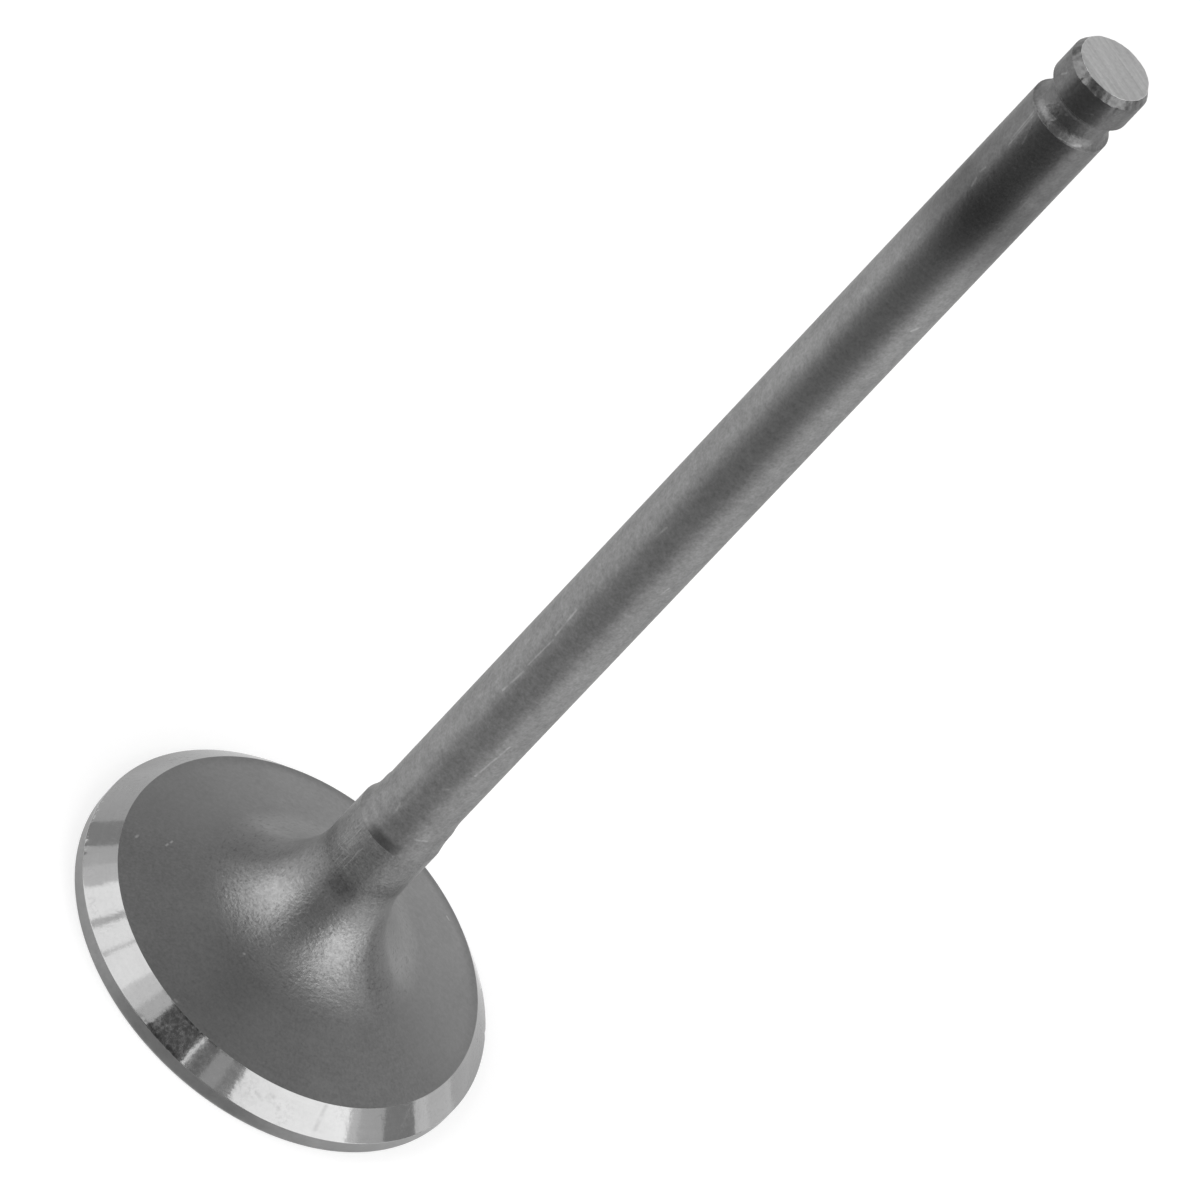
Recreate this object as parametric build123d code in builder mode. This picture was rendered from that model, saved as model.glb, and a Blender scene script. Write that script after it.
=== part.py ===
from build123d import *
import math
import os

# A one-piece poppet valve for an engine, in millimetres.
# The origin is the centre of the flat combustion face, and +Z runs up the stem to the tip.

# Head
head_diameter = 33.54          # across the margin, the widest part
margin_height = 1.25           # combustion face to the foot of the seat
face_edge_radius = 0.2         # rounded edge between the combustion face and the margin
seat_width = 1.82              # along a radius of the head
seat_angle = 45.0              # slope from the head's plane, in degrees
tulip_angle = 16.0             # slope of the head's back from the head's plane, in degrees
fillet_radius = 8.0            # hollow that carries the head's back into the neck

# Neck, which no wheel has ground
neck_diameter = 6.76
neck_height = 17.0             # combustion face to the neck's upper edge

# Rough-ground band between the neck and the finished stem
band_diameter = 6.2
band_offset = 0.05             # how far the band's axis stands off the stem's, along +X
band_corner_radius = 4.3       # rounded corner of the wheel, which leaves a hollow shoulder
band_height = 19.2             # combustion face to the band's upper edge

# Finished stem
stem_diameter = 5.97           # runs in a 6 mm guide
stem_corner_radius = 3.3       # rounded corner of the finishing wheel
overall_length = 105.0         # combustion face to tip face
tip_face_diameter = 5.28       # flat end inside the chamfer
tip_chamfer_angle = 30.0       # slope from the stem's axis, in degrees

# Keeper groove
tip_land_length = 2.75         # tip face to the groove's upper edge
groove_width = 2.3             # from edge to edge on the stem
groove_floor_diameter = 5.05
groove_corner_radius = 0.75    # hollow from each edge to the floor

head_radius = head_diameter / 2
neck_radius = neck_diameter / 2
band_radius = band_diameter / 2
stem_radius = stem_diameter / 2
tip_face_radius = tip_face_diameter / 2
groove_floor_radius = groove_floor_diameter / 2


def blank_section():
    """Half section of the blank: the finished head, and the neck carried up to the tip."""
    seat_top_radius = head_radius - seat_width
    seat_top = margin_height + seat_width * math.tan(math.radians(seat_angle))
    tulip_rise = (seat_top_radius - neck_radius) * math.tan(math.radians(tulip_angle))
    neck_foot = seat_top + tulip_rise
    with BuildSketch(Plane.XZ) as section:
        with BuildLine():
            Polyline(
                (0, 0),
                (head_radius, 0),
                (head_radius, margin_height),
                (seat_top_radius, seat_top),
                (neck_radius, neck_foot),
                (neck_radius, overall_length),
                (0, overall_length),
                close=True,
            )
        make_face()
        face_edge = section.vertices().sort_by_distance((head_radius, 0))[0]
        fillet(face_edge, face_edge_radius)
        under_head = section.vertices().sort_by_distance((neck_radius, neck_foot))[0]
        fillet(under_head, fillet_radius)
    return section.sketch


def wheel_section(ground_radius, corner_radius, lower_side, upper_side):
    """Half section of a grinding wheel's path: a ring with both inner corners rounded."""
    with BuildSketch(Plane.XZ) as section:
        with BuildLine():
            Polyline(
                (ground_radius, lower_side),
                (head_radius, lower_side),
                (head_radius, upper_side),
                (ground_radius, upper_side),
                close=True,
            )
        make_face()
        fillet(section.vertices().group_by(Axis.X)[0], corner_radius)
    return section.sketch


def overrun(corner_radius, depth):
    """How far the side of a wheel stands past the edge that its rounded corner leaves."""
    sunk = min(depth, corner_radius)
    return corner_radius - math.sqrt(sunk * (2 * corner_radius - sunk))


band_side = neck_height - overrun(band_corner_radius, neck_radius - band_radius)
band_path = wheel_section(
    band_radius, band_corner_radius, band_side, overall_length + band_corner_radius
)
band_axis = Axis((band_offset, 0, 0), (0, 0, 1))

stem_side = band_height - overrun(stem_corner_radius, band_radius - stem_radius)
stem_path = wheel_section(
    stem_radius, stem_corner_radius, stem_side, overall_length + stem_corner_radius
)

groove_top = overall_length - tip_land_length
groove_foot = groove_top - groove_width
groove_overrun = overrun(groove_corner_radius, stem_radius - groove_floor_radius)
groove_path = wheel_section(
    groove_floor_radius,
    groove_corner_radius,
    groove_foot - groove_overrun,
    groove_top + groove_overrun,
)

with BuildPart() as valve:
    revolve(blank_section(), axis=Axis.Z)
    revolve(Pos(band_offset, 0, 0) * band_path, axis=band_axis, mode=Mode.SUBTRACT)
    revolve(stem_path, axis=Axis.Z, mode=Mode.SUBTRACT)
    tip_face = valve.faces().sort_by(Axis.Z)[-1]
    chamfer(
        tip_face.edges(),
        length=stem_radius - tip_face_radius,
        angle=90 - tip_chamfer_angle,
        reference=tip_face,
    )
    revolve(groove_path, axis=Axis.Z, mode=Mode.SUBTRACT)

valve.part.label = "valve"
os.makedirs("parts", exist_ok=True)
export_step(valve.part, "parts/valve.step")
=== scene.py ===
"""Looks for the engine valve: its finished surfaces, a plain studio and the camera.

Lengths of the valve are in millimetres, those of the studio in metres.
Angles round the valve are in degrees from its front, -Y, and are positive towards +X.
"""

import math

import bpy
import numpy as np
from mathutils import Matrix, Vector


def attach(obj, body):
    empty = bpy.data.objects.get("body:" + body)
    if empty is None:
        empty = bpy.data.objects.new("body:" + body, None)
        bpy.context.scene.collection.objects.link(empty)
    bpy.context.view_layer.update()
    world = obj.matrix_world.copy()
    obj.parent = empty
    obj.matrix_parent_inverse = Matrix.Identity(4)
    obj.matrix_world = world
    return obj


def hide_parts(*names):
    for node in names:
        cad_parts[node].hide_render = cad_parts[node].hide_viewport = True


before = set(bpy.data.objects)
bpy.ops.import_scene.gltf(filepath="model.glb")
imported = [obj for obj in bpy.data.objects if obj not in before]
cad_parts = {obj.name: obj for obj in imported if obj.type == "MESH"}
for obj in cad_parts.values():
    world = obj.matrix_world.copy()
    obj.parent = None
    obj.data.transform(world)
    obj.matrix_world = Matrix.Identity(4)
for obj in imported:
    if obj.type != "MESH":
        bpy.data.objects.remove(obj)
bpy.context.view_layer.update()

MM = 0.001

# ---------------------------------------------------------------- the valve's sizes

head_radius = 16.755           # 16.77 less 0.015, inside the box of the solid's facets
margin_height = 1.25
face_edge_radius = 0.2
seat_top_radius = 14.95
seat_top_height = 3.07
tulip_angle = 16.0
fillet_radius = 8.0
neck_radius = 3.38
neck_offset = -0.025           # the unground neck stands off the stem's axis, along +X
neck_height = 17.0
band_radius = 3.10
band_offset = 0.05
band_corner_radius = 4.3
band_height = 19.2
stem_radius = 2.985
stem_corner_radius = 3.3
overall_length = 105.0
tip_face_radius = 2.64
chamfer_height = 104.402
groove_foot = 99.95
groove_top = 102.25
groove_floor_radius = 2.525
groove_corner_radius = 0.75    # of the upper corner
groove_lower_radius = 1.0      # the lower one looks a little fuller

# Small forms that grinding and wear leave
edge_break = 0.045             # the very small rounding on the ground edges
seat_foot_break = 0.09         # the seat's foot is worn a little rounder
shoulder_break = 0.3           # of the edges below both hollow shoulders
chamfer_waver = 0.045          # how far the chamfer's lower edge swings up and down
tip_waver = 0.03               # how far the tip face's edge swings in and out
tip_waver_lag = 2.0            # in radians, so that the two edges don't swing together
tip_wear = 0.07                # how much further in the tip face's edge lies at the front

# Both shoulders are softer on the right: share of each radius, or mm of each break, added there
neck_corner_growth = 1.5
neck_break_growth = 1.5
band_corner_growth = 1.4
band_break_growth = 1.2

# How the finished mesh is divided
columns = 512
support = 0.035                # a ring this far from each edge keeps the flats flat
support_limit = 6.0 * support  # shorter stretches have no such rings
fillet_steps = 34
edge_steps = 4
neck_hollow_steps = 8
band_hollow_steps = 6
groove_hollow_steps = 8
stem_steps = 16

ZONES = ("face", "margin", "seat", "back", "stem", "groove", "land", "chamfer", "tip")


# ---------------------------------------------------------------- profile of the valve

# An uneven edge: (swings in a turn, phase in radians, share), and about the most they come to
WAVES = ((3.0, 0.7, 1.0), (7.0, 2.1, 0.8), (13.0, 4.0, 0.7), (29.0, 1.3, 0.6))
wave_peak = 2.0


def waver(psi, height):
    """A small uneven swing round the axis, of the given height, the same on every run."""
    swing = sum(share * math.sin(count * psi + phase) for count, phase, share in WAVES)
    return height * swing / wave_peak


def hollow(ground_radius, corner_radius, foot_radius, steps):
    """Arc that a wheel's rounded corner leaves, as (radius, run past the wheel's side)."""
    depth = foot_radius - ground_radius
    turn = math.acos(1.0 - depth / corner_radius)
    points = []
    for i in range(steps + 1):
        angle = turn * (1.0 - i / steps)
        radius = foot_radius if i == 0 else ground_radius + corner_radius * (1.0 - math.cos(angle))
        points.append((radius, corner_radius * (1.0 - math.sin(angle))))
    return points


# Each corner of the half section is (radius, height, rounding, steps, zone).
# Steps and zone are those of the stretch that follows the corner.

def head_corners(local_neck):
    """Corners from the middle of the combustion face to the foot of the neck."""
    tulip_rise = (seat_top_radius - local_neck) * math.tan(math.radians(tulip_angle))
    return [
        (0.0, 0.0, 0.0, 5, "face"),
        (head_radius, 0.0, face_edge_radius, 4, "margin"),
        (head_radius, margin_height, seat_foot_break, 8, "seat"),
        (seat_top_radius, seat_top_height, edge_break, 12, "back"),
        (local_neck, seat_top_height + tulip_rise, fillet_radius, 10, "back"),
    ]


def shoulder_corners(points, edge_height, rounding):
    """Corners of a hollow shoulder that starts at edge_height, where its edge is rounded."""
    wheel_side = edge_height - points[0][1]
    corners = [(radius, wheel_side + run, 0.0, 1, "stem") for radius, run in points]
    corners[0] = corners[0][:2] + (rounding, 1, "stem")
    return corners


def groove_corners():
    """Corners of the keeper groove, with both its edges broken."""
    lower = hollow(groove_floor_radius, groove_lower_radius, stem_radius, groove_hollow_steps)
    upper = hollow(groove_floor_radius, groove_corner_radius, stem_radius, groove_hollow_steps)
    places = [(radius, groove_foot + run - lower[0][1]) for radius, run in lower]
    places += [(radius, groove_top - run + upper[0][1]) for radius, run in reversed(upper)]
    corners = [place + (0.0, 1, "groove") for place in places]
    corners[0] = places[0] + (edge_break, 1, "groove")
    corners[-1] = places[-1] + (edge_break, 3, "land")
    return corners


def tip_corners(psi):
    """Corners of the chamfer and the tip face, whose edges are uneven."""
    local_chamfer = chamfer_height + waver(psi, chamfer_waver)
    local_tip = tip_face_radius + waver(psi + tip_waver_lag, tip_waver)
    local_tip -= tip_wear * max(math.cos(psi), 0.0)
    return [
        (stem_radius, local_chamfer, edge_break, 3, "chamfer"),
        (local_tip, overall_length, edge_break, 6, "tip"),
        (0.0, overall_length, 0.0, 0, "tip"),
    ]


def valve_corners(psi):
    """All the corners of the half section at one angle."""
    side = math.sin(psi)
    right = max(side, 0.0) ** 2
    local_neck = neck_radius + neck_offset * side
    local_band = band_radius + band_offset * side
    neck_corner = band_corner_radius * (1.0 + neck_corner_growth * right)
    band_corner = stem_corner_radius * (1.0 + band_corner_growth * right)
    neck_hollow = hollow(local_band, neck_corner, local_neck, neck_hollow_steps)
    band_hollow = hollow(stem_radius, band_corner, local_band, band_hollow_steps)

    corners = head_corners(local_neck)
    corners += shoulder_corners(neck_hollow, neck_height, shoulder_break + neck_break_growth * right)
    corners += shoulder_corners(band_hollow, band_height, shoulder_break + band_break_growth * right)
    corners[-1] = corners[-1][:3] + (stem_steps, "stem")
    return corners + groove_corners() + tip_corners(psi)


def rounded(before, corner, after, radius, steps):
    """Points of the arc that rounds one corner, from its first tangent point to its last."""
    if radius == 0.0:
        return [corner]
    here = Vector(corner)
    back = (Vector(before) - here).normalized()
    on = (Vector(after) - here).normalized()
    half = back.angle(on) / 2.0
    centre = here + (back + on).normalized() * (radius / math.sin(half))
    start = here + back * (radius / math.tan(half))
    end = here + on * (radius / math.tan(half))
    first = (start - centre).normalized()
    final = (end - centre).normalized()
    return [tuple(centre + first.slerp(final, i / steps) * radius) for i in range(steps + 1)]


def divided(start, end, steps):
    """Points between two rings, both left out, with a ring close to each end."""
    length = math.dist(start, end)
    shares = [i / steps for i in range(1, steps)]
    if steps > 1 and length > support_limit:
        shares = [support / length] + shares + [1.0 - support / length]
    return [
        (start[0] + (end[0] - start[0]) * s, start[1] + (end[1] - start[1]) * s)
        for s in shares
    ]


def half_section(psi):
    """The whole half section at one angle: points, and the zone of the stretch after each."""
    corners = valve_corners(psi)
    arcs = []
    for i, (radius, height, rounding, _, _) in enumerate(corners):
        before = corners[max(i - 1, 0)][:2]
        after = corners[min(i + 1, len(corners) - 1)][:2]
        steps = fillet_steps if rounding == fillet_radius else edge_steps
        arcs.append(rounded(before, (radius, height), after, rounding, steps))
    points = []
    zones = []
    for i, arc in enumerate(arcs):
        zone = corners[i][4]
        points += arc
        zones += [zone] * len(arc)
        if i + 1 < len(arcs):
            inner = divided(arc[-1], arcs[i + 1][0], corners[i][3])
            points += inner
            zones += [zone] * len(inner)
    return points, zones


# ---------------------------------------------------------------- small true damage

# Nicks: (angle, height, radius there, half width, depth)
NICKS = (
    (-66.0, 1.24, head_radius, 0.20, 0.04),
    (-63.0, 1.27, head_radius, 0.24, 0.06),
    (-60.5, 1.22, head_radius, 0.18, 0.04),
    (-9.5, 1.27, head_radius, 0.20, 0.05),
    (-7.5, 1.24, head_radius, 0.16, 0.04),
    (-5.5, 1.26, head_radius, 0.22, 0.06),
    (-2.5, 1.25, head_radius, 0.18, 0.04),
    (118.0, 1.25, head_radius, 0.22, 0.05),
    (171.0, 1.25, head_radius, 0.20, 0.04),
    (-18.0, 20.15, stem_radius, 0.22, 0.03),
    (37.0, 104.40, stem_radius, 0.18, 0.05),
    (-20.0, 104.42, stem_radius, 0.14, 0.03),
    (-48.0, 104.38, stem_radius, 0.16, 0.03),
    (8.0, 104.40, stem_radius, 0.14, 0.025),
)


def nicked(place, outward):
    """The same points with each nick pressed in."""
    moved = place.copy()
    for angle, height, radius, half_width, depth in NICKS:
        turn = math.radians(angle)
        centre = np.array((radius * math.sin(turn), -radius * math.cos(turn), height))
        distance = np.linalg.norm(place - centre, axis=-1)
        press = depth * np.exp(-((distance / half_width) ** 2))
        moved -= outward * press[..., None]
    return moved


# ---------------------------------------------------------------- the finished mesh

def valve_points():
    """Points in mm by ring, column and coordinate, and the zone of the stretch after each ring."""
    sections = []
    for k in range(columns):
        points, zones = half_section(2.0 * math.pi * k / columns)
        sections.append(points)
    rings = np.array(sections).transpose(1, 0, 2)
    radius, height = rings[..., 0], rings[..., 1]
    turns = 2.0 * np.pi * np.arange(columns) / columns
    place = np.stack((radius * np.sin(turns), -radius * np.cos(turns), height), -1)
    outward = np.stack((np.sin(turns), -np.cos(turns), np.zeros(columns)), -1)
    return nicked(place, np.broadcast_to(outward, place.shape)), zones


def valve_faces(count, zones):
    """Faces between count rings, with a fan at each end, and the material slot of each face."""
    last = 1 + (count - 2) * columns
    faces = []
    slots = []
    for i in range(count - 1):
        low = 1 + (i - 1) * columns
        high = low + columns
        for k in range(columns):
            j = (k + 1) % columns
            if i == 0:
                faces.append((0, high + j, high + k))
            elif i == count - 2:
                faces.append((low + k, low + j, last))
            else:
                faces.append((low + k, low + j, high + j, high + k))
        slots += [ZONES.index(zones[i])] * columns
    return faces, slots


def valve_mesh():
    """The valve as one closed mesh: a ring of points for each point of the half section."""
    place, zones = valve_points()
    inner = place[1:-1].reshape(-1, 3)
    vertices = np.concatenate((place[:1, 0], inner, place[-1:, 0])) * MM
    faces, slots = valve_faces(len(place), zones)
    mesh = bpy.data.meshes.new("valve_finished")
    mesh.from_pydata(vertices.tolist(), [], faces)
    mesh.polygons.foreach_set("material_index", slots)
    mesh.polygons.foreach_set("use_smooth", [True] * len(faces))
    mesh.update()
    return mesh


# ---------------------------------------------------------------- node helpers

def put(tree, kind, inputs=None, **settings):
    """Adds a node. Each input is a value, or the output socket that feeds it."""
    made = tree.nodes.new(kind)
    for key, value in settings.items():
        setattr(made, key, value)
    for key, value in (inputs or {}).items():
        if isinstance(value, bpy.types.NodeSocket):
            tree.links.new(value, made.inputs[key])
        else:
            made.inputs[key].default_value = value
    return made


def sums(tree, operation, first, second=0.0, third=0.0, clamp=False):
    """One Math node, and its output."""
    inputs = {0: first, 1: second, 2: third}
    return put(tree, "ShaderNodeMath", inputs, operation=operation, use_clamp=clamp).outputs[0]


def times(tree, first, second):
    """Product of two values."""
    return sums(tree, "MULTIPLY", first, second)


def plus(tree, first, second):
    """Sum of two values."""
    return sums(tree, "ADD", first, second)


def vectors(tree, operation, inputs, output=0):
    """One Vector Math node, and one of its outputs."""
    return put(tree, "ShaderNodeVectorMath", inputs, operation=operation).outputs[output]


def between(tree, value, low, high, to_low=0.0, to_high=1.0, smooth=True):
    """value carried from the range low..high to to_low..to_high, and held outside it."""
    kind = "SMOOTHSTEP" if smooth else "LINEAR"
    inputs = {"Value": value, "From Min": low, "From Max": high, "To Min": to_low, "To Max": to_high}
    return put(tree, "ShaderNodeMapRange", inputs, interpolation_type=kind).outputs[0]


def falling(tree, value, low, high):
    """1 below low, 0 above high."""
    return between(tree, value, low, high, 1.0, 0.0)


def window(tree, value, start, full, fade, end):
    """0 up to start, 1 from full to fade, and 0 again from end."""
    return times(tree, between(tree, value, start, full), falling(tree, value, fade, end))


def noise(tree, vector, detail=2.0):
    """Noise of unit size in the given coordinates."""
    inputs = {"Vector": vector, "Scale": 1.0, "Detail": detail, "Roughness": 0.5}
    return put(tree, "ShaderNodeTexNoise", inputs).outputs[0]


def turned_coordinates(tree):
    """Object coordinates in mm, their x, y and z, the radius, and the way along the profile."""
    where = put(tree, "ShaderNodeTexCoord").outputs["Object"]
    place = vectors(tree, "SCALE", {0: where, "Scale": 1.0 / MM})
    split = put(tree, "ShaderNodeSeparateXYZ", {0: place})
    x, y, z = split.outputs[0], split.outputs[1], split.outputs[2]
    across = plus(tree, times(tree, x, x), times(tree, y, y))
    smallest = 0.05                # keeps the divisions by the radius safe on the axis
    radius = sums(tree, "MAXIMUM", sums(tree, "SQRT", across), smallest)
    along = sums(tree, "SUBTRACT", z, radius)
    return {"place": place, "x": x, "y": y, "z": z, "radius": radius, "along": along}


def streaks(tree, at, around, fineness):
    """Noise drawn out round the axis: around per radian, fineness per mm along the profile."""
    cosine = times(tree, sums(tree, "DIVIDE", at["x"], at["radius"]), around)
    sine = times(tree, sums(tree, "DIVIDE", at["y"], at["radius"]), around)
    along = times(tree, at["along"], fineness)
    vector = put(tree, "ShaderNodeCombineXYZ", {0: cosine, 1: sine, 2: along}).outputs[0]
    return noise(tree, vector, 3.0)


def speckle(tree, at, fineness, detail=2.0):
    """Noise of the same size every way, fineness per mm."""
    return noise(tree, vectors(tree, "SCALE", {0: at["place"], "Scale": fineness}), detail)


def drawn_out(tree, place, fineness, detail):
    """Noise of a different fineness along x, y and z."""
    return noise(tree, vectors(tree, "MULTIPLY", {0: place, 1: fineness}), detail)


def blended(tree, start, parts):
    """start plus each (value, weight) part, where every value swings about a half."""
    total = start - 0.5 * sum(weight for _, weight in parts)
    for value, weight in parts:
        total = sums(tree, "MULTIPLY_ADD", value, weight, total)
    return total


def layered(tree, total, layers):
    """total plus each (value, gain) layer, where 0 leaves it as it is."""
    for value, gain in layers:
        total = plus(tree, total, times(tree, value, gain))
    return total


def graded(tree, value, stops):
    """Level read from (place, level) stops along value."""
    low, high = stops[0][0], stops[-1][0]
    top = max(level for _, level in stops)
    ramp = put(tree, "ShaderNodeValToRGB", {0: between(tree, value, low, high, smooth=False)})
    points = ramp.color_ramp.elements
    while len(points) < len(stops):
        points.new(0.5)
    for point, (place, level) in zip(points, stops):
        point.position = (place - low) / (high - low)
        share = level / top
        point.color = (share, share, share, 1.0)
    return times(tree, ramp.outputs[0], top)


def on_surface(psi, height, radius):
    """Point of the surface at an angle, height and radius in mm."""
    turn = math.radians(psi)
    return Vector((radius * math.sin(turn), -radius * math.cos(turn), height))


def toward(tree, at, psi, half_angle):
    """1 where the surface faces the angle psi round the axis, falling to 0 at half_angle."""
    dot = vectors(tree, "DOT_PRODUCT", {0: at["place"], 1: on_surface(psi, 0.0, 1.0)}, "Value")
    cosine = sums(tree, "DIVIDE", dot, at["radius"])
    return between(tree, cosine, math.cos(math.radians(half_angle)), 1.0)


def scratch(tree, at, start, end, width):
    """1 along a short straight mark between two (angle, height, radius) places, 0 beyond width."""
    first = on_surface(*start)
    run = on_surface(*end) - first
    off = vectors(tree, "SUBTRACT", {0: at["place"], 1: first})
    dot = vectors(tree, "DOT_PRODUCT", {0: off, 1: run}, "Value")
    share = sums(tree, "DIVIDE", dot, run.length_squared, clamp=True)
    foot = vectors(tree, "SCALE", {0: run, "Scale": share})
    gap = vectors(tree, "DISTANCE", {0: off, 1: foot}, "Value")
    return falling(tree, gap, 0.0, width)


def scratches(tree, at, marks):
    """All the marks of one surface together, broken up unevenly."""
    total = 0.0
    for start, end, width in marks:
        total = sums(tree, "MAXIMUM", scratch(tree, at, start, end, width), total)
    faintest = 0.3
    ragged = between(tree, speckle(tree, at, 1.6, 3.0), 0.34, 0.56, faintest, 1.0)
    return times(tree, total, ragged)


def new_material(name):
    """An empty node material with its output."""
    made = bpy.data.materials.new(name)
    made.use_nodes = True
    tree = made.node_tree
    tree.nodes.clear()
    output = put(tree, "ShaderNodeOutputMaterial")
    return made, tree, output


def steel_shader(tree, output, colour, roughness, height, relief, anisotropy, edge=1.0):
    """Bare steel, with highlights drawn out across the grinding marks, and a relief in mm."""
    tangent = put(tree, "ShaderNodeTangent", direction_type="RADIAL", axis="Z").outputs[0]
    bump = put(tree, "ShaderNodeBump", {"Strength": 1.0, "Distance": relief * MM, "Height": height})
    shader = put(tree, "ShaderNodeBsdfPrincipled", {
        "Base Color": colour,
        "Metallic": 1.0,
        "Roughness": roughness,
        "Anisotropic": anisotropy,
        "Anisotropic Rotation": 0.25,
        "Specular Tint": (edge, edge, edge, 1.0),
        "Tangent": tangent,
        "Normal": bump.outputs[0],
    })
    tree.links.new(shader.outputs[0], output.inputs[0])
    return shader


# ---------------------------------------------------------------- marks and stains

# Light marks, as (angle, height, radius) at each end and the half width in mm
BACK_MARKS = (
    ((-69.4, 3.40, 13.80), (-68.6, 3.38, 13.90), 0.16),
    ((-69.8, 4.01, 11.69), (-69.0, 4.00, 11.75), 0.14),
    ((-71.9, 4.07, 11.45), (-71.2, 4.06, 11.50), 0.13),
    ((-12.2, 5.04, 8.29), (-11.7, 5.05, 8.26), 0.13),
    ((148.0, 3.40, 13.80), (149.2, 3.42, 13.74), 0.13),
    ((-11.8, 3.12, 14.80), (-11.0, 3.13, 14.76), 0.14),
)
STEM_MARKS_AND_HIGHLIGHT = (
    ((-24.0, 34.2, 2.985), (-20.5, 36.8, 2.985), 0.13),
    ((-22.5, 37.4, 2.985), (-21.0, 40.6, 2.985), 0.10),
    ((-23.0, 41.0, 2.985), (-26.0, 43.8, 2.985), 0.13),
    ((30.0, 26.8, 2.985), (38.0, 30.6, 2.985), 0.14),
    ((-15.5, 53.3, 2.985), (-13.5, 54.6, 2.985), 0.13),
    ((46.0, 49.4, 2.985), (49.0, 50.1, 2.985), 0.16),
    ((10.0, 24.2, 2.985), (15.0, 24.5, 2.985), 0.16),
    ((46.0, 80.0, 2.985), (52.0, 80.4, 2.985), 0.18),
    ((-36.0, 97.0, 2.985), (-40.0, 99.7, 2.985), 0.12),
    ((-31.0, 92.2, 2.985), (-34.0, 92.9, 2.985), 0.13),
    ((-37.0, 93.4, 2.985), (-35.0, 94.0, 2.985), 0.11),
    ((-33.0, 96.6, 2.985), (-36.5, 99.8, 2.985), 0.10),
    ((-17.5, 19.9, 2.990), (-20.0, 20.5, 2.985), 0.16),
    # The next two lines are a painted highlight along the band's edge, on the right
    ((19.0, 18.95, 3.12), (31.0, 19.02, 3.12), 0.20),
    ((31.0, 19.02, 3.12), (47.0, 19.20, 3.10), 0.15),
    ((-20.0, 97.6, 2.985), (-27.0, 98.9, 2.985), 0.10),
)
# The first two are bright specks on the groove's floor; the other three are painted highlights on its
# lower hollow and along its lower edge
GROOVE_MARKS_AND_HIGHLIGHTS = (
    ((-14.5, 100.58, 2.53), (-13.0, 100.72, 2.53), 0.15),
    ((-5.8, 101.45, 2.53), (-4.5, 101.53, 2.53), 0.15),
    ((22.0, 100.04, 2.86), (30.0, 100.07, 2.85), 0.16),
    ((30.0, 100.07, 2.85), (41.0, 100.14, 2.81), 0.20),
    ((8.0, 99.99, 2.92), (20.0, 100.02, 2.88), 0.07),
)
LAND_MARKS = (
    ((-50.0, 103.1, 2.985), (-44.0, 103.6, 2.985), 0.12),
    ((12.0, 102.9, 2.985), (20.0, 103.1, 2.985), 0.10),
)

# Dull smudges of the seat, in the same form
SEAT_MARKS = (
    ((57.0, 2.60, 15.42), (59.0, 2.72, 15.30), 0.10),
    ((59.0, 2.72, 15.30), (59.4, 2.45, 15.57), 0.10),
    ((40.5, 2.90, 15.12), (39.4, 1.70, 16.32), 0.30),
    ((20.5, 2.30, 15.72), (23.0, 2.10, 15.92), 0.20),
    ((24.5, 2.55, 15.47), (25.5, 2.45, 15.57), 0.22),
    ((27.5, 2.10, 15.92), (28.5, 2.05, 15.97), 0.18),
)

# Heights of the painted shade in mm: start, full, fade, end
HOLLOW_SHADE = (4.4, 6.0, 8.8, 11.2)
COLLAR_SHADE = (11.8, 12.8, 13.2, 14.4)
NECK_FRONT_SHADE = (10.2, 11.5, 11.7, 13.0)
CORNER_SHADE = (16.50, 16.70, 17.40, 18.05)

# Sectors round the valve: the angle that they face, and their half angle
# Sectors of painted shade, and the front of the collar, which is left without it
HOLLOW_SHADE_LEFT = (-90.0, 25.0)
HOLLOW_SHADE_RIGHT = (80.0, 19.0)
RIM_SHADE_SECTOR = (180.0, 100.0)
COLLAR_UNSHADED_SECTOR = (2.0, 34.0)
NECK_FRONT_SHADE_SECTOR = (1.0, 30.0)
NECK_SCORES_SECTOR = (-22.0, 34.0)
CORNER_SHADE_SECTOR = (-2.0, 32.0)
FOOT_WEAR_SECTOR = (-7.0, 10.0)
RIM_WEAR_SECTOR = (-1.0, 18.0)
GLINT_SECTOR = (-74.0, 14.0)
SEAT_DULL_SECTOR = (2.0, 24.0)
FRONT_HALF = (0.0, 100.0)


def painted_shade(tree, at):
    """Painted shade: dark reflections painted at both sides of the neck's foot, and darkening painted
    along the back's far edge and behind the neck.
    """
    left = toward(tree, at, *HOLLOW_SHADE_LEFT)
    right = toward(tree, at, *HOLLOW_SHADE_RIGHT)
    hollows = times(tree, sums(tree, "MAXIMUM", left, right), window(tree, at["z"], *HOLLOW_SHADE))
    rim = times(tree, toward(tree, at, *RIM_SHADE_SECTOR), between(tree, at["radius"], 13.8, 14.8))
    behind = falling(tree, toward(tree, at, *COLLAR_UNSHADED_SECTOR), 0.0, 1.0)
    collar = times(tree, window(tree, at["z"], *COLLAR_SHADE), behind)
    return layered(tree, 0.0, [(hollows, 0.31), (rim, 0.24), (collar, 0.18)])


def neck_scores(tree, at):
    """Fine marks along the neck, at the front and a little to the left."""
    where = times(tree, toward(tree, at, *NECK_SCORES_SECTOR), between(tree, at["z"], 11.5, 13.5))
    lines = drawn_out(tree, at["place"], (5.0, 5.0, 0.45), 2.0)
    return times(tree, where, between(tree, lines, 0.50, 0.66))


def unshaded_share(tree, at):
    """1 where no shade is painted, less along the corner that the rough wheel left above the neck,
    where shade is painted, most at the front.
    """
    depth = plus(tree, times(tree, toward(tree, at, *CORNER_SHADE_SECTOR), 0.32), 0.15)
    corner_shade = times(tree, window(tree, at["z"], *CORNER_SHADE), depth)
    return sums(tree, "SUBTRACT", 1.0, corner_shade)


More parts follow.
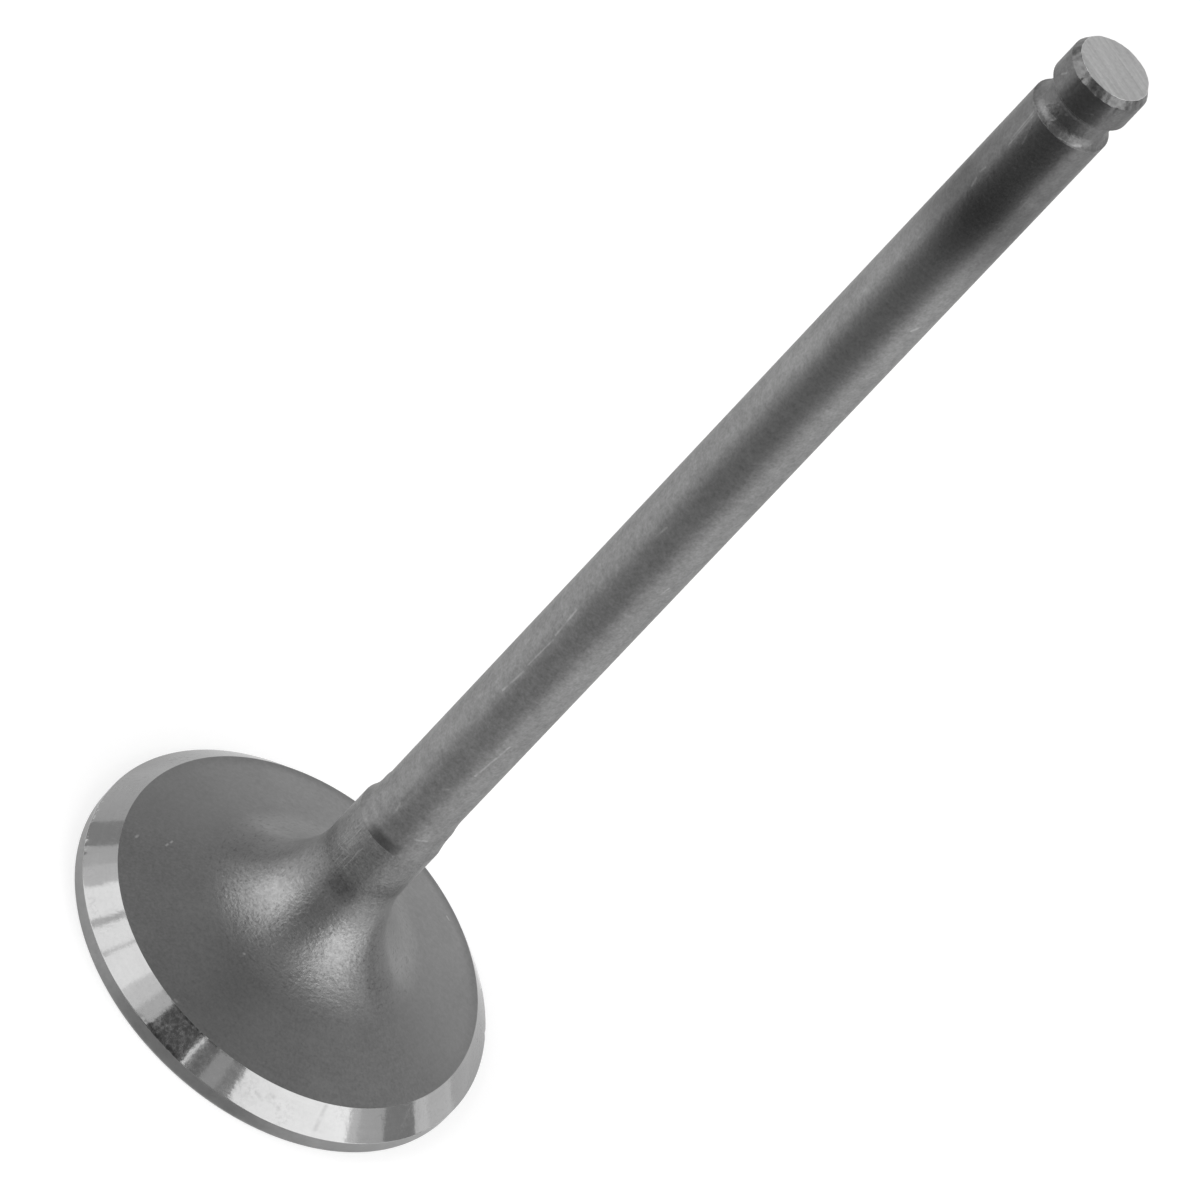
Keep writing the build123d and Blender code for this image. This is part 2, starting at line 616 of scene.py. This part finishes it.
def seat_wear(tree, at):
    """1 where the seat is chipped, at the front of its foot and of its upper edge."""
    chips = between(tree, speckle(tree, at, 2.6, 3.0), 0.44, 0.54)
    foot = times(tree, toward(tree, at, *FOOT_WEAR_SECTOR), falling(tree, at["z"], 1.32, 1.58))
    rim = times(tree, toward(tree, at, *RIM_WEAR_SECTOR), between(tree, at["z"], 2.92, 3.02))
    return times(tree, sums(tree, "MAXIMUM", foot, rim), chips)


def seat_glints(tree, at):
    """1 on small bright specks along the seat's foot, on the left."""
    foot = times(tree, toward(tree, at, *GLINT_SECTOR), falling(tree, at["z"], 1.34, 1.50))
    return times(tree, foot, between(tree, speckle(tree, at, 5.0), 0.56, 0.66))


# ---------------------------------------------------------------- the surfaces

back_reflectance = 0.262
back_roughness = 0.39
back_relief = 0.038
tulip_relief_share = 0.15      # of that relief, on the smooth tulip
far_share = 0.40               # of the back's marks and relief, on the side that faces away
seat_reflectance = 0.330
seat_roughness = 0.085
seat_dull_roughness = 0.55     # of the dull specks
seat_dull_share = (0.06, 0.22) # how much the specks cover, outside and inside the dull patches
seat_relief = 0.006
stem_roughness = 0.41
hardened_roughness = 0.35      # of the stem's tip end
hardened_from = (86.0, 92.0)   # heights between which the stem's finish changes
tip_reflectance = 0.60
tip_roughness = 0.30
tip_relief = 0.004
tip_mark_turn = 20.0           # of the grinder's straight marks, in degrees

# Tint of each finish where it is seen edge-on
back_edge = 0.95
stem_edge = 0.87

# Radii between which the smooth tulip turns into the rough fillet
FILLET_EDGE = (10.0, 7.5)

# Reflectance of the stem against height: the tip end was hardened and stays darker
STEM_SHADES = (
    (18.0, 0.245), (40.0, 0.250), (82.0, 0.250), (86.0, 0.215), (88.2, 0.155),
    (90.5, 0.122), (92.3, 0.115), (94.2, 0.142), (97.0, 0.158), (105.0, 0.165),
)


def back_material():
    """Dark nitrided steel of the tulip, fillet and neck, satin with fine uneven marks."""
    made, tree, output = new_material("nitrided_back")
    at = turned_coordinates(tree)
    rings = streaks(tree, at, 6.0, 3.0)
    strokes = streaks(tree, at, 15.0, 4.2)
    grain = speckle(tree, at, 2.8, 3.0)
    fine = speckle(tree, at, 5.5)
    clouds = speckle(tree, at, 0.25)
    scored = neck_scores(tree, at)
    cuts = times(tree, between(tree, strokes, 0.58, 0.68), between(tree, at["radius"], *FILLET_EDGE))
    # Painted shade on the front of the fillet, next to the neck
    front_shade = times(tree, window(tree, at["z"], *NECK_FRONT_SHADE), toward(tree, at, *NECK_FRONT_SHADE_SECTOR))
    marks = scratches(tree, at, BACK_MARKS)
    calm = between(tree, toward(tree, at, *FRONT_HALF), 0.0, 0.5, far_share, 1.0)
    flat_tulip = between(tree, at["radius"], *FILLET_EDGE, tulip_relief_share, 1.0)

    parts = [(rings, 0.14), (grain, 0.36), (fine, 0.44), (clouds, 0.32), (scored, 0.18)]
    tone = plus(tree, times(tree, blended(tree, 0.0, parts), calm), 1.0)
    # The second and third layers paint shade into the colour; the last adds light marks
    layers = [(cuts, -0.20), (front_shade, -0.30), (painted_shade(tree, at), -1.0), (marks, 0.9)]
    colour = times(tree, layered(tree, tone, layers), back_reflectance)
    roughness = blended(tree, back_roughness, [(grain, -0.16), (clouds, -0.05)])
    parts = [(rings, 0.3), (strokes, 0.50), (grain, 0.80), (fine, 0.36), (scored, 0.3)]
    height = times(tree, times(tree, blended(tree, 0.0, parts), flat_tulip), calm)
    steel_shader(tree, output, colour, roughness, height, back_relief, 0.2, back_edge)
    return made


def stem_material(name, marks, share=1.0, dull=0.0, relief=0.022, mark_and_highlight_gain=0.50):
    """Satin ground steel of the stem, darker where the tip end was hardened, with painted shade in the
    corner above the neck.
    """
    made, tree, output = new_material(name)
    at = turned_coordinates(tree)
    rings = streaks(tree, at, 3.0, 2.2)
    grain = speckle(tree, at, 2.4, 3.0)
    fine = speckle(tree, at, 5.5)
    clouds = speckle(tree, at, 0.22)
    blots = speckle(tree, at, 0.9)

    ragged = blended(tree, 0.0, [(clouds, 2.0), (blots, 1.6)])
    level = graded(tree, plus(tree, at["z"], ragged), STEM_SHADES)
    parts = [(rings, 0.20), (grain, 0.44), (fine, 0.60), (clouds, 0.30), (blots, 0.28)]
    # Light marks are added to the tone; some are painted highlights along edges and hollows
    tone = layered(tree, blended(tree, share, parts), [(scratches(tree, at, marks), mark_and_highlight_gain)])
    # The corner's painted shade darkens the colour here
    colour = times(tree, times(tree, tone, unshaded_share(tree, at)), level)
    plain = between(tree, at["z"], *hardened_from, stem_roughness + dull, hardened_roughness + dull)
    roughness = plus(tree, plain, blended(tree, 0.0, [(grain, -0.14), (blots, -0.08)]))
    height = blended(tree, 0.0, [(rings, 0.5), (grain, 0.6), (fine, 0.3)])
    steel_shader(tree, output, colour, roughness, height, relief, 0.3, stem_edge)
    return made


def bright_material(name, level, swing, roughness, relief, around, fineness, blot=0.7):
    """Bright ground or turned steel with marks round the axis."""
    made, tree, output = new_material(name)
    at = turned_coordinates(tree)
    rings = streaks(tree, at, around, fineness)
    grain = speckle(tree, at, 3.0, 3.0)
    blots = speckle(tree, at, blot, 3.0)
    tone = blended(tree, 1.0, [(rings, 0.5 * swing), (grain, swing), (blots, swing)])
    colour = times(tree, tone, level)
    parts = [(rings, 0.3 * roughness), (grain, 0.6 * roughness), (blots, 0.4 * roughness)]
    rough = blended(tree, roughness, parts)
    height = blended(tree, 0.0, [(rings, 0.4), (grain, 0.6), (blots, 1.0)])
    steel_shader(tree, output, colour, rough, height, relief, 0.3)
    return made


def seat_material():
    """Ground seat, close to a mirror, with dull specks that scatter the light."""
    made, tree, output = new_material("ground_seat")
    at = turned_coordinates(tree)
    rings = streaks(tree, at, 5.0, 3.5)
    grain = speckle(tree, at, 3.0, 3.0)
    blots = speckle(tree, at, 0.6, 3.0)

    tone = blended(tree, 1.0, [(rings, 0.10), (grain, 0.06), (blots, 0.12)])
    smudges = scratches(tree, at, SEAT_MARKS)
    layers = [(smudges, -0.16), (seat_wear(tree, at), -0.50), (seat_glints(tree, at), 0.6)]
    colour = times(tree, layered(tree, tone, layers), seat_reflectance)
    roughness = blended(tree, seat_roughness, [(rings, 0.05), (grain, 0.06), (blots, 0.04)])
    height = blended(tree, 0.0, [(rings, 0.3), (grain, 0.3), (blots, 1.2)])
    clean = steel_shader(tree, output, colour, roughness, height, seat_relief, 0.3)
    dull = steel_shader(tree, output, colour, seat_dull_roughness, height, seat_relief, 0.0)

    specks = between(tree, speckle(tree, at, 3.4, 3.0), 0.40, 0.68)
    patches = between(tree, speckle(tree, at, 0.45), 0.50, 0.62)
    cover = between(tree, patches, 0.0, 1.0, *seat_dull_share)
    cover = layered(tree, cover, [(toward(tree, at, *SEAT_DULL_SECTOR), 0.18)])
    inputs = {0: times(tree, specks, cover), 1: clean.outputs[0], 2: dull.outputs[0]}
    tree.links.new(put(tree, "ShaderNodeMixShader", inputs).outputs[0], output.inputs[0])
    return made


def tip_material():
    """Tip face with the straight marks of a surface grinder."""
    made, tree, output = new_material("ground_tip")
    at = turned_coordinates(tree)
    inputs = {"Vector": at["place"], "Angle": math.radians(tip_mark_turn)}
    turned = put(tree, "ShaderNodeVectorRotate", inputs, rotation_type="Z_AXIS").outputs[0]
    lines = drawn_out(tree, turned, (0.22, 7.0, 1.0), 3.0)
    bands = drawn_out(tree, turned, (0.13, 1.5, 1.0), 2.0)
    grain = speckle(tree, at, 4.0, 3.0)
    bump = put(tree, "ShaderNodeBump", {"Strength": 1.0, "Distance": tip_relief * MM, "Height": lines})
    shader = put(tree, "ShaderNodeBsdfPrincipled", {
        "Base Color": blended(tree, tip_reflectance, [(lines, 0.18), (bands, 0.42), (grain, 0.22)]),
        "Metallic": 1.0,
        "Roughness": blended(tree, tip_roughness, [(lines, -0.10), (grain, 0.06)]),
        "Normal": bump.outputs[0],
    })
    tree.links.new(shader.outputs[0], output.inputs[0])
    return made


def add_object(name, data):
    """A new object in the scene."""
    made = bpy.data.objects.new(name, data)
    bpy.context.scene.collection.objects.link(made)
    return made


def valve_finishes():
    """The material of each zone."""
    return {
        "face": bright_material(
            "turned_face",
            level=0.27, swing=0.14, roughness=0.38, relief=0.010, around=8.0, fineness=3.0,
        ),
        "margin": bright_material(
            "turned_margin",
            level=0.255, swing=0.28, roughness=0.38, relief=0.014, around=8.0, fineness=3.0,
        ),
        "seat": seat_material(),
        "back": back_material(),
        "stem": stem_material("ground_stem", STEM_MARKS_AND_HIGHLIGHT),
        # The groove's marks, its painted highlights among them, are set brighter
        "groove": stem_material(
            "ground_groove", GROOVE_MARKS_AND_HIGHLIGHTS,
            share=0.95, dull=0.08, relief=0.070, mark_and_highlight_gain=0.75,
        ),
        "land": stem_material("ground_land", LAND_MARKS, share=0.88, dull=0.03),
        "chamfer": bright_material(
            "rough_chamfer",
            level=0.140, swing=1.10, roughness=0.38, relief=0.050, around=6.0, fineness=3.0, blot=1.6,
        ),
        "tip": tip_material(),
    }


def finish_valve():
    """The finished valve, which stands for the CAD node."""
    valve = add_object("valve_finished", valve_mesh())
    finishes = valve_finishes()
    for zone in ZONES:
        valve.data.materials.append(finishes[zone])
    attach(valve, "root")
    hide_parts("valve")


# ---------------------------------------------------------------- studio

floor_size = 6.0
floor_colour = 0.55
floor_glow = 0.58              # brings the floor to white where it is seen directly
cloth_lift = 0.0001            # above the floor
card_aim = 0.003               # height that the cards face
softbox_aim = 0.03             # height that the softboxes face
world_lean = 0.25              # how much brighter the surroundings are on the right
front_azimuth = 3.0            # of the middle of the front cloth
front_fade = 0.22              # half the width of its fading sides, in radians

# Light of the surroundings against the sine of the elevation
SKY = (
    (0.0, 1.40), (0.17, 1.38), (0.32, 1.06), (0.53, 0.78),
    (0.62, 0.67), (0.74, 0.61), (0.94, 0.53), (1.0, 0.51),
)

# Light of the front cloth, half its spread in radians, and light of the cloths at the sides,
# each against the distance from the axis
FRONT_STOPS = (
    (0.0, 0.56), (0.019, 0.56), (0.026, 0.64), (0.055, 0.64),
    (0.09, 0.46), (0.104, 0.24), (0.116, 0.07), (0.6, 0.05),
)
SPREAD_STOPS = (
    (0.0, 0.46), (0.018, 0.46), (0.0205, 0.60), (0.024, 0.66), (0.027, 0.86), (0.034, 0.80),
    (0.041, 0.69), (0.06, 0.68), (0.09, 0.74), (0.116, 1.08), (0.6, 1.15),
)
SIDE_STOPS = ((0.0, 0.74), (0.020, 0.76), (0.028, 0.92), (0.3, 0.90))

# Softboxes: (name, azimuth, elevation, distance, width, height, radiance)
SOFTBOXES = (
    ("softbox_right", 67.5, 28.0, 0.55, 0.565, 0.50, 1.60),
    ("softbox_left", -69.0, 28.0, 0.55, 0.56, 0.50, 1.60),
)

# Upright cards across the front: (name, left, right, foot, top, y, light)
UPRIGHTS = (
    ("flag_left", -0.262, 0.014, 0.0, 0.95, -0.60, 0.17),
    ("flag_right", 0.050, 0.380, 0.0, 0.95, -0.60, 0.34),
    ("flag_outer", 0.258, 0.505, 0.0, 0.95, -0.598, 0.50),
    ("gap_light", 0.022, 0.041, 0.50, 0.95, -0.60, 2.30),
    ("gap_faint", 0.150, 0.258, 0.40, 0.95, -0.598, 0.72),
)

# Cards that face the head: (name, azimuth, elevation, distance, width, height, light)
CARDS = (
    ("bar_high", -61.5, 42.0, 0.50, 0.013, 0.20, 1.25),
    ("bar_low", -75.6, 38.0, 0.50, 0.024, 0.20, 1.00),
    ("shade_near", -27.0, 49.8, 0.40, 0.0475, 0.12, 1.15),
    ("shade_far", -37.6, 48.0, 0.401, 0.060, 0.13, 1.50),
    ("fade_left", -96.0, 28.0, 0.495, 0.066, 0.26, 1.27),
    ("feather_left", -101.5, 26.0, 0.50, 0.160, 0.26, 1.05),
    ("fade_right", 91.0, 29.0, 0.505, 0.050, 0.26, 1.25),
    ("feather_right", 99.0, 26.0, 0.50, 0.105, 0.26, 0.95),
    ("frame_left", -114.0, 17.0, 0.495, 0.095, 0.15, 0.55),
    ("frame_right", 110.4, 18.0, 0.495, 0.114, 0.16, 0.48),
    ("even_right", 131.0, 6.0, 0.50, 0.13, 0.09, 1.15),
    ("low_left", -112.0, 4.5, 0.52, 0.10, 0.07, 0.15),
    ("low_right", 113.0, 4.5, 0.52, 0.12, 0.07, 0.15),
)


def direction(azimuth, elevation):
    """Unit vector from the valve. Azimuth 0 is the camera's side, and it grows towards +X."""
    turn, rise = math.radians(azimuth), math.radians(elevation)
    return Vector((math.sin(turn) * math.cos(rise), -math.cos(turn) * math.cos(rise), math.sin(rise)))


def facing(place, target):
    """Turn that points an object's -Z at the target."""
    return (target - place).to_track_quat("-Z", "Y").to_euler()


def sheet(name, corners, place, target, strength, cover=None):
    """A flat lit card that only reflections see. Where cover is under 1 it lets them through."""
    mesh = bpy.data.meshes.new(name)
    mesh.from_pydata(corners, [], [tuple(range(len(corners)))])
    made = add_object(name, mesh)
    made.location = place
    if target is not None:
        made.rotation_euler = facing(place, target)
    material, tree, output = new_material(name)
    level = strength(tree) if callable(strength) else strength
    light = put(tree, "ShaderNodeEmission", {"Strength": level}).outputs[0]
    if cover is not None:
        clear = put(tree, "ShaderNodeBsdfTransparent").outputs[0]
        light = put(tree, "ShaderNodeMixShader", {0: cover(tree), 1: clear, 2: light}).outputs[0]
    tree.links.new(light, output.inputs[0])
    mesh.materials.append(material)
    made.visible_camera = False
    made.visible_shadow = False
    made.visible_diffuse = False
    made.visible_transmission = False


def rectangle(width, height):
    """Corners of a flat rectangle round its own middle."""
    x, y = width / 2.0, height / 2.0
    return [(-x, -y, 0.0), (x, -y, 0.0), (x, y, 0.0), (-x, y, 0.0)]


def card(name, azimuth, elevation, distance, width, height, level):
    """A card that stands at an angle and faces the valve's head."""
    aim = Vector((0.0, 0.0, card_aim))
    place = aim + direction(azimuth, elevation) * distance
    sheet(name, rectangle(width, height), place, aim, level)


def upright(name, left, right, foot, top, y, level):
    """A card that stands upright across the front, from left to right along X."""
    middle = Vector(((left + right) / 2.0, y, (foot + top) / 2.0))
    ahead = middle + Vector((0.0, 1.0, 0.0))
    sheet(name, rectangle(right - left, top - foot), middle, ahead, level)


def cloth(name, azimuth, half_angle, near, far, strength, cover=None):
    """A cloth on the floor: part of a ring round the valve."""
    turns = [azimuth + half_angle * step / 8.0 for step in range(-8, 9)]
    corners = [tuple(direction(turn, 0.0) * near) for turn in turns]
    corners += [tuple(direction(turn, 0.0) * far) for turn in reversed(turns)]
    sheet(name, corners, Vector((0.0, 0.0, cloth_lift)), None, strength, cover)


def from_axis(tree):
    """A point of the floor, and its distance from the valve's axis in m."""
    where = put(tree, "ShaderNodeTexCoord").outputs["Object"]
    return where, vectors(tree, "LENGTH", {0: where}, "Value")


def front_level(tree):
    """Light of the cloth in front of the valve, darker further out."""
    return graded(tree, from_axis(tree)[1], FRONT_STOPS)


def side_level(tree):
    """Light of the cloths at the sides, darker beside the head."""
    return graded(tree, from_axis(tree)[1], SIDE_STOPS)


def front_cover(tree):
    """1 in the middle of the front cloth, fading at its sides. Further out the cloth is wider."""
    where, away = from_axis(tree)
    dot = vectors(tree, "DOT_PRODUCT", {0: where, 1: direction(front_azimuth, 0.0)}, "Value")
    turn = sums(tree, "ARCCOSINE", sums(tree, "DIVIDE", dot, away))
    past = sums(tree, "SUBTRACT", turn, graded(tree, away, SPREAD_STOPS))
    return falling(tree, past, -front_fade, front_fade)


# Cloths on the floor: (name, azimuth, half angle, near, far, light, cover)
CLOTHS = (
    ("front_cloth", front_azimuth, 78.0, 0.0169, 0.60, front_level, front_cover),
    ("side_cloth_left", -126.0, 24.0, 0.0172, 0.30, side_level, None),
    ("side_cloth_right", 120.0, 16.0, 0.0172, 0.30, side_level, None),
    ("back_cloth", 180.0, 30.0, 0.0185, 0.30, 0.80, None),
    ("edge_cloth", 143.0, 7.2, 0.0185, 0.30, 0.80, None),
)


def softbox(name, azimuth, elevation, distance, width, height, radiance):
    """A rectangular area light of even radiance."""
    light = bpy.data.lights.new(name, "AREA")
    light.shape = "RECTANGLE"
    light.size = width
    light.size_y = height
    light.energy = radiance * math.pi * width * height
    made = add_object(name, light)
    aim = Vector((0.0, 0.0, softbox_aim))
    made.location = aim + direction(azimuth, elevation) * distance
    made.rotation_euler = facing(made.location, aim)
    made.visible_camera = False


def seen_directly(tree):
    """1 for camera, glossy and transmission rays, 0 for the rest."""
    path = put(tree, "ShaderNodeLightPath")
    either = plus(tree, path.outputs["Is Camera Ray"], path.outputs["Is Glossy Ray"])
    return sums(tree, "ADD", either, path.outputs["Is Transmission Ray"], clamp=True)


def make_floor():
    """Plain white floor that keeps a soft shadow, and is open from beneath."""
    mesh = bpy.data.meshes.new("floor")
    mesh.from_pydata(rectangle(floor_size, floor_size), [], [(0, 1, 2, 3)])
    floor = add_object("floor", mesh)
    material, tree, output = new_material("floor_white")
    colour = (floor_colour, floor_colour, floor_colour, 1.0)
    paint = put(tree, "ShaderNodeBsdfDiffuse", {"Color": colour}).outputs[0]
    lift = times(tree, seen_directly(tree), floor_glow)
    glow = put(tree, "ShaderNodeEmission", {"Strength": lift}).outputs[0]
    both = put(tree, "ShaderNodeAddShader", {0: paint, 1: glow}).outputs[0]
    under = put(tree, "ShaderNodeNewGeometry").outputs["Backfacing"]
    clear = put(tree, "ShaderNodeBsdfTransparent").outputs[0]
    shown = put(tree, "ShaderNodeMixShader", {0: under, 1: both, 2: clear}).outputs[0]
    tree.links.new(shown, output.inputs[0])
    mesh.materials.append(material)


def make_world():
    """Even pale surroundings, dimmer overhead and a little brighter on the right."""
    world = bpy.data.worlds.new("studio")
    bpy.context.scene.world = world
    world.use_nodes = True
    tree = world.node_tree
    tree.nodes.clear()
    output = put(tree, "ShaderNodeOutputWorld")
    way = put(tree, "ShaderNodeTexCoord").outputs["Generated"]
    split = put(tree, "ShaderNodeSeparateXYZ", {0: way})
    lean = sums(tree, "MULTIPLY_ADD", split.outputs[0], world_lean, 1.0)
    level = times(tree, graded(tree, split.outputs[2], SKY), lean)
    back = put(tree, "ShaderNodeBackground", {"Strength": level})
    tree.links.new(back.outputs[0], output.inputs[0])


def make_studio():
    """Softboxes at both sides, flags in front, cloths and cards round the head, and the world."""
    make_world()
    make_floor()
    for values in SOFTBOXES:
        softbox(*values)
    for values in UPRIGHTS:
        upright(*values)
    for values in CLOTHS:
        cloth(*values)
    for values in CARDS:
        card(*values)


# ---------------------------------------------------------------- camera

camera_place = Vector((-0.609, -534.45, 470.205)) * MM
camera_dip = 38.59             # below the horizon
camera_roll = 43.38            # stem up and to the right
camera_lens = 299.24           # on the sensor below
camera_sensor = 36.0


def make_camera():
    """Long lens, looking along +Y and down, and rolled."""
    data = bpy.data.cameras.new("camera")
    data.lens = camera_lens
    data.sensor_fit = "HORIZONTAL"
    data.sensor_width = camera_sensor
    data.clip_start = 0.01
    data.clip_end = 50.0
    made = add_object("camera", data)
    tilt = Matrix.Rotation(math.radians(90.0 - camera_dip), 4, "X")
    roll = Matrix.Rotation(math.radians(camera_roll), 4, "Z")
    made.matrix_world = Matrix.Translation(camera_place) @ tilt @ roll
    bpy.context.scene.camera = made


make_camera()
make_studio()
finish_valve()

bpy.context.scene.view_settings.view_transform = "Standard"
